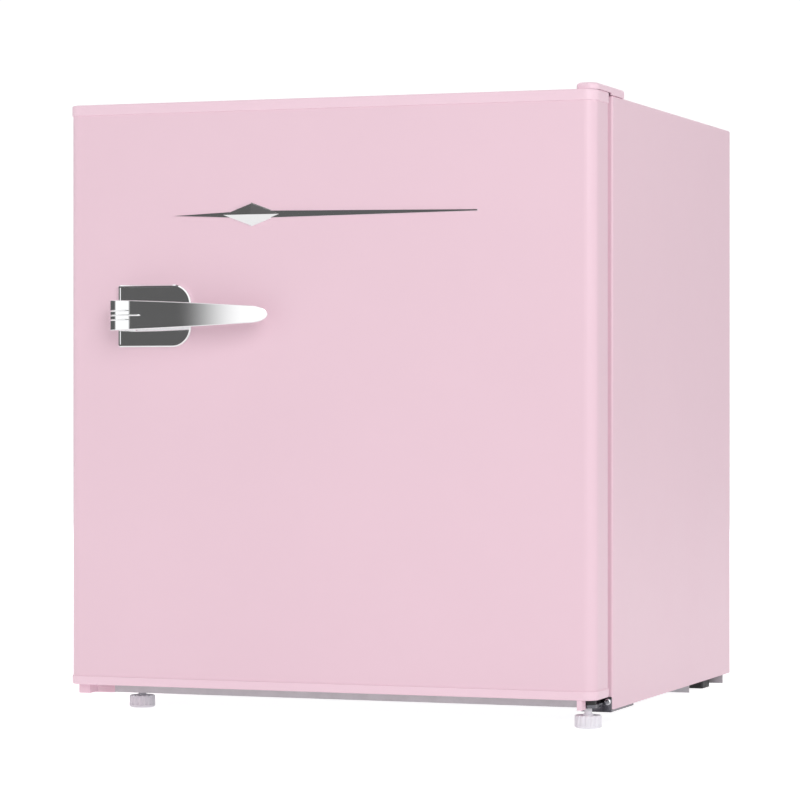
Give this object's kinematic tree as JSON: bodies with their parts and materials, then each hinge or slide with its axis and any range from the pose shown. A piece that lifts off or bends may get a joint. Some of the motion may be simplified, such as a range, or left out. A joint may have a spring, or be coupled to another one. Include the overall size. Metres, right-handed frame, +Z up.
{
  "type": "mini fridge",
  "caption": "Compact retro refrigerator with a hinged door, chrome lever handle, inner shelf, door racks, freezer box and rear compressor.",
  "frame": {"origin": "centre of the bounding box's base, on the floor", "axes": "+Z up, -Y towards the door front, +X towards the hinge side"},
  "size_m": [0.445, 0.4624, 0.4964],
  "materials": {
    "pink_paint": "satin",
    "pink_plastic": "satin",
    "galvanised": "matte",
    "steel_dark": "satin",
    "steel_bright": "polished",
    "chrome": "polished",
    "black_paint": "gloss",
    "foam": "matte",
    "white_plastic": "satin",
    "grey_plastic": "satin",
    "black_plastic": "matte",
    "clear_plastic": "clear",
    "glass": "clear",
    "rubber": "matte",
    "gasket": "matte",
    "aluminium": "satin",
    "copper": "satin"
  },
  "bodies": {
    "cabinet": {"outer_shell": "pink_paint", "rear_panel": "galvanised", "bay_panel": "galvanised", "front_rail": "galvanised", "insulation_foam": "foam", "inner_liner": "white_plastic", "compressor_base_plate": "galvanised", "rear_feet": "black_plastic", "base_plate_screws": "steel_bright", "compressor": "black_paint", "compressor_feet": "black_paint", "compressor_grommets": "rubber", "compressor_bolts": "steel_bright", "relay_cover": "black_plastic", "condenser_tube": "black_paint", "condenser_wires": "black_paint", "condenser_clips": "black_plastic", "discharge_line": "copper", "suction_line": "copper", "filter_drier": "copper", "capillary_tube": "copper", "evaporator_box": "aluminium", "evaporator_spacers": "white_plastic", "evaporator_screws": "steel_bright", "freezer_frame": "white_plastic", "tray_runners": "white_plastic", "thermostat_housing": "white_plastic", "thermostat_bulb": "steel_bright", "upper_hinge_bracket": "galvanised", "upper_hinge_pin": "steel_bright", "upper_hinge_screws": "steel_bright", "hinge_cover": "pink_plastic", "lower_hinge_bracket": "steel_dark", "lower_hinge_pin": "black_paint", "foot_nut": "steel_bright", "cord_gland": "black_plastic", "lower_hinge_bushing": "black_plastic", "lower_hinge_screws": "steel_bright", "spare_hole_plugs": "pink_plastic"},
    "door": {"door_skin": "pink_paint", "door_top_cap": "pink_plastic", "door_bottom_cap": "pink_plastic", "door_foam": "foam", "door_liner": "white_plastic", "door_gasket": "gasket", "handle_escutcheon": "chrome", "handle_lever": "chrome", "handle_screws": "steel_bright", "door_badge": "chrome"},
    "lower_rack": {"lower_rack": "clear_plastic"},
    "upper_rack": {"upper_rack": "clear_plastic"},
    "freezer_flap": {"freezer_flap": "white_plastic"},
    "thermostat_knob": {"thermostat_knob": "white_plastic"},
    "shelf": {"shelf_glass": "glass", "shelf_front_trim": "white_plastic", "shelf_rear_trim": "white_plastic"},
    "drip_tray": {"drip_tray": "clear_plastic"},
    "foot_left": {"foot_left": "grey_plastic"},
    "foot_right": {"foot_right": "grey_plastic"}
  },
  "joints": [
    {"name": "door_hinge", "type": "hinge", "parent": "cabinet", "child": "door", "pos_m": [0.21, -0.1762, 0.25], "axis": [0, 0, 1], "range_deg": [0, 135]},
    {"name": "lower_rack_lift", "type": "slide", "parent": "door", "child": "lower_rack", "axis": [0, 0, 1], "range_m": [0, 0.022]},
    {"name": "upper_rack_lift", "type": "slide", "parent": "door", "child": "upper_rack", "axis": [0, 0, 1], "range_m": [0, 0.022]},
    {"name": "freezer_flap_hinge", "type": "hinge", "parent": "cabinet", "child": "freezer_flap", "pos_m": [-0.026, -0.0353, 0.446], "axis": [-1, 0, 0], "range_deg": [0, 85]},
    {"name": "thermostat_turn", "type": "hinge", "parent": "cabinet", "child": "thermostat_knob", "pos_m": [0.158, -0.0268, 0.405], "axis": [0, -1, 0], "range_deg": [0, 300]},
    {"name": "shelf_slide", "type": "slide", "parent": "cabinet", "child": "shelf", "axis": [0, -1, 0], "range_m": [0, 0.07]},
    {"name": "drip_tray_slide", "type": "slide", "parent": "cabinet", "child": "drip_tray", "axis": [0, -1, 0], "range_m": [0, 0.09]},
    {"name": "foot_left_turn", "type": "hinge", "parent": "cabinet", "child": "foot_left", "pos_m": [-0.185, -0.1362, 0], "axis": [0, 0, 1], "continuous": true},
    {"name": "foot_right_turn", "type": "hinge", "parent": "cabinet", "child": "foot_right", "pos_m": [0.21, -0.1762, 0], "axis": [0, 0, 1], "continuous": true}
  ]
}
